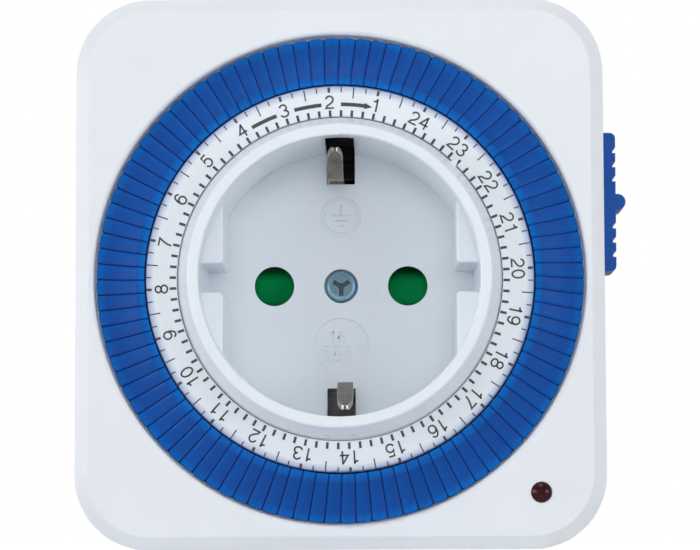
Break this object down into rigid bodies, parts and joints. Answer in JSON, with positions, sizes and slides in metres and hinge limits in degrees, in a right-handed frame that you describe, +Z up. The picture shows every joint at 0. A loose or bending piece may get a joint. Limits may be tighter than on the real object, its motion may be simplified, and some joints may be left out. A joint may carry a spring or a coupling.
{
  "type": "plug in timer switch",
  "caption": "Plug-in 24 hour mechanical timer: square housing with an earthed plug behind and, in front, a socket ringed by a dial of push-down tappets, a mode slider and a lamp.",
  "frame": {"origin": "middle of the plug's nose face, between the two pins", "axes": "+Y out of the plug's nose face into the wall, +Z up with the earth contacts above and below, +X to the right as seen from the front"},
  "size_m": [0.0774, 0.079, 0.0766],
  "materials": {
    "housing_white": "satin moulded",
    "collar_white": "satin moulded",
    "dial_white": "satin moulded, printed",
    "tappet_blue": "moulded, semi gloss",
    "slider_blue": "moulded, semi gloss",
    "shutter_green": "moulded, semi gloss",
    "lever_plastic": "natural acetal",
    "block_plastic": "moulded",
    "chassis_plastic": "moulded",
    "switch_plastic": "moulded",
    "gear_plastic": "natural acetal",
    "spring_steel": "bright",
    "zinc_steel": "bright zinc",
    "plate_steel": "zinc plated",
    "earth_nickel": "nickel plated",
    "pin_nickel": "nickel plated",
    "contact_brass": "bright",
    "coil_copper": "enamelled winding",
    "rotor_ferrite": "matt",
    "lens_red": "clear red",
    "lamp_glass": "clear",
    "resistor_body": "lacquered",
    "wire_sleeve": "pvc"
  },
  "bodies": {
    "root": {"front_cover": "housing_white", "rear_cover": "housing_white", "socket_cup": "collar_white", "earth_bridge": "earth_nickel", "plug_earth_strap": "earth_nickel", "neutral_contact": "contact_brass", "live_inlet_strip": "contact_brass", "live_outlet_contact": "contact_brass", "plug_pins": "pin_nickel", "contact_carrier": "block_plastic", "centre_screw": "zinc_steel", "housing_screws": "zinc_steel", "chassis": "chassis_plastic", "rear_gear_plate": "plate_steel", "movement_screws": "zinc_steel", "motor_can": "plate_steel", "motor_coil": "coil_copper", "lever_pin": "zinc_steel", "switch_body": "switch_plastic", "switch_blade": "contact_brass", "indicator_lens": "lens_red", "indicator_lamp": "lamp_glass", "lamp_resistor": "resistor_body", "internal_wires": "wire_sleeve", "shutter_spring": "spring_steel"},
    "dial": {"dial_ring": "dial_white"},
    "shutter": {"shutter": "shutter_green"},
    "slider": {"mode_slider": "slider_blue"},
    "lever": {"follower_lever": "lever_plastic"},
    "plunger": {"switch_plunger": "lever_plastic"},
    "drive_shaft": {"drive_pinion": "gear_plastic", "clutch_wheel": "gear_plastic", "clutch_spring": "spring_steel"},
    "idler": {"idler_gear": "gear_plastic"},
    "motor_output": {"motor_pinion": "gear_plastic"},
    "rotor": {"motor_rotor": "rotor_ferrite"},
    "tappets_hour_01": {"tappets_hour_01": "tappet_blue"},
    "tappets_hour_02": {"tappets_hour_02": "tappet_blue"},
    "tappets_hour_03": {"tappets_hour_03": "tappet_blue"},
    "tappets_hour_04": {"tappets_hour_04": "tappet_blue"},
    "tappets_hour_05": {"tappets_hour_05": "tappet_blue"},
    "tappets_hour_06": {"tappets_hour_06": "tappet_blue"},
    "tappets_hour_07": {"tappets_hour_07": "tappet_blue"},
    "tappets_hour_08": {"tappets_hour_08": "tappet_blue"},
    "tappets_hour_09": {"tappets_hour_09": "tappet_blue"},
    "tappets_hour_10": {"tappets_hour_10": "tappet_blue"},
    "tappets_hour_11": {"tappets_hour_11": "tappet_blue"},
    "tappets_hour_12": {"tappets_hour_12": "tappet_blue"},
    "tappets_hour_13": {"tappets_hour_13": "tappet_blue"},
    "tappets_hour_14": {"tappets_hour_14": "tappet_blue"},
    "tappets_hour_15": {"tappets_hour_15": "tappet_blue"},
    "tappets_hour_16": {"tappets_hour_16": "tappet_blue"},
    "tappets_hour_17": {"tappets_hour_17": "tappet_blue"},
    "tappets_hour_18": {"tappets_hour_18": "tappet_blue"},
    "tappets_hour_19": {"tappets_hour_19": "tappet_blue"},
    "tappets_hour_20": {"tappets_hour_20": "tappet_blue"},
    "tappets_hour_21": {"tappets_hour_21": "tappet_blue"},
    "tappets_hour_22": {"tappets_hour_22": "tappet_blue"},
    "tappets_hour_23": {"tappets_hour_23": "tappet_blue"},
    "tappets_hour_24": {"tappets_hour_24": "tappet_blue"}
  },
  "joints": [
    {"name": "dial_spin", "type": "hinge", "parent": "root", "child": "dial", "pos_m": [0, -0.048, 0], "axis": [0, 1, 0], "continuous": true},
    {"name": "shutter_turn", "type": "hinge", "parent": "root", "child": "shutter", "pos_m": [0, -0.0394, 0], "axis": [0, 1, 0], "range_deg": [0, 40], "stiffness_Nm_per_rad": 0.0005, "springref_deg": -20.05, "deforming": ["shutter_spring"]},
    {"name": "slider_travel", "type": "slide", "parent": "root", "child": "slider", "axis": [0, 0, 1], "range_m": [-0.004, 0]},
    {"name": "lever_swing", "type": "hinge", "parent": "root", "child": "lever", "pos_m": [0.02875, -0.042, 0.0085], "axis": [1, 0, 0], "range_deg": [0, 12.9]},
    {"name": "plunger_press", "type": "slide", "parent": "root", "child": "plunger", "axis": [0, -1, 0], "range_m": [0, 0.0012]},
    {"name": "drive_spin", "type": "hinge", "parent": "root", "child": "drive_shaft", "pos_m": [-0.02404, -0.038, -0.01445], "axis": [0, 1, 0], "continuous": true},
    {"name": "idler_spin", "type": "hinge", "parent": "root", "child": "idler", "pos_m": [-0.01882, -0.036, -0.0235], "axis": [0, 1, 0], "continuous": true},
    {"name": "motor_output_spin", "type": "hinge", "parent": "root", "child": "motor_output", "pos_m": [-0.00877, -0.034, -0.0235], "axis": [0, 1, 0], "continuous": true},
    {"name": "rotor_spin", "type": "hinge", "parent": "root", "child": "rotor", "pos_m": [-0.00877, -0.027, -0.0235], "axis": [0, 1, 0], "continuous": true},
    {"name": "tappets_hour_01_push", "type": "slide", "parent": "dial", "child": "tappets_hour_01", "axis": [0, 1, 0], "range_m": [0, 0.003]},
    {"name": "tappets_hour_02_push", "type": "slide", "parent": "dial", "child": "tappets_hour_02", "axis": [0, 1, 0], "range_m": [0, 0.003]},
    {"name": "tappets_hour_03_push", "type": "slide", "parent": "dial", "child": "tappets_hour_03", "axis": [0, 1, 0], "range_m": [0, 0.003]},
    {"name": "tappets_hour_04_push", "type": "slide", "parent": "dial", "child": "tappets_hour_04", "axis": [0, 1, 0], "range_m": [0, 0.003]},
    {"name": "tappets_hour_05_push", "type": "slide", "parent": "dial", "child": "tappets_hour_05", "axis": [0, 1, 0], "range_m": [0, 0.003]},
    {"name": "tappets_hour_06_push", "type": "slide", "parent": "dial", "child": "tappets_hour_06", "axis": [0, 1, 0], "range_m": [0, 0.003]},
    {"name": "tappets_hour_07_push", "type": "slide", "parent": "dial", "child": "tappets_hour_07", "axis": [0, 1, 0], "range_m": [0, 0.003]},
    {"name": "tappets_hour_08_push", "type": "slide", "parent": "dial", "child": "tappets_hour_08", "axis": [0, 1, 0], "range_m": [0, 0.003]},
    {"name": "tappets_hour_09_push", "type": "slide", "parent": "dial", "child": "tappets_hour_09", "axis": [0, 1, 0], "range_m": [0, 0.003]},
    {"name": "tappets_hour_10_push", "type": "slide", "parent": "dial", "child": "tappets_hour_10", "axis": [0, 1, 0], "range_m": [0, 0.003]},
    {"name": "tappets_hour_11_push", "type": "slide", "parent": "dial", "child": "tappets_hour_11", "axis": [0, 1, 0], "range_m": [0, 0.003]},
    {"name": "tappets_hour_12_push", "type": "slide", "parent": "dial", "child": "tappets_hour_12", "axis": [0, 1, 0], "range_m": [0, 0.003]},
    {"name": "tappets_hour_13_push", "type": "slide", "parent": "dial", "child": "tappets_hour_13", "axis": [0, 1, 0], "range_m": [0, 0.003]},
    {"name": "tappets_hour_14_push", "type": "slide", "parent": "dial", "child": "tappets_hour_14", "axis": [0, 1, 0], "range_m": [0, 0.003]},
    {"name": "tappets_hour_15_push", "type": "slide", "parent": "dial", "child": "tappets_hour_15", "axis": [0, 1, 0], "range_m": [0, 0.003]},
    {"name": "tappets_hour_16_push", "type": "slide", "parent": "dial", "child": "tappets_hour_16", "axis": [0, 1, 0], "range_m": [0, 0.003]},
    {"name": "tappets_hour_17_push", "type": "slide", "parent": "dial", "child": "tappets_hour_17", "axis": [0, 1, 0], "range_m": [0, 0.003]},
    {"name": "tappets_hour_18_push", "type": "slide", "parent": "dial", "child": "tappets_hour_18", "axis": [0, 1, 0], "range_m": [0, 0.003]},
    {"name": "tappets_hour_19_push", "type": "slide", "parent": "dial", "child": "tappets_hour_19", "axis": [0, 1, 0], "range_m": [0, 0.003]},
    {"name": "tappets_hour_20_push", "type": "slide", "parent": "dial", "child": "tappets_hour_20", "axis": [0, 1, 0], "range_m": [0, 0.003]},
    {"name": "tappets_hour_21_push", "type": "slide", "parent": "dial", "child": "tappets_hour_21", "axis": [0, 1, 0], "range_m": [0, 0.003]},
    {"name": "tappets_hour_22_push", "type": "slide", "parent": "dial", "child": "tappets_hour_22", "axis": [0, 1, 0], "range_m": [0, 0.003]},
    {"name": "tappets_hour_23_push", "type": "slide", "parent": "dial", "child": "tappets_hour_23", "axis": [0, 1, 0], "range_m": [0, 0.003]},
    {"name": "tappets_hour_24_push", "type": "slide", "parent": "dial", "child": "tappets_hour_24", "axis": [0, 1, 0], "range_m": [0, 0.003]}
  ],
  "couplings": [
    {"joint": "lever_swing", "follows": "slider_travel", "rad_per_m": -56.287},
    {"joint": "plunger_press", "follows": "slider_travel", "ratio": -0.3},
    {"joint": "drive_spin", "follows": "dial_spin", "ratio": -8.3333},
    {"joint": "idler_spin", "follows": "dial_spin", "ratio": 35},
    {"joint": "motor_output_spin", "follows": "dial_spin", "ratio": -140}
  ]
}
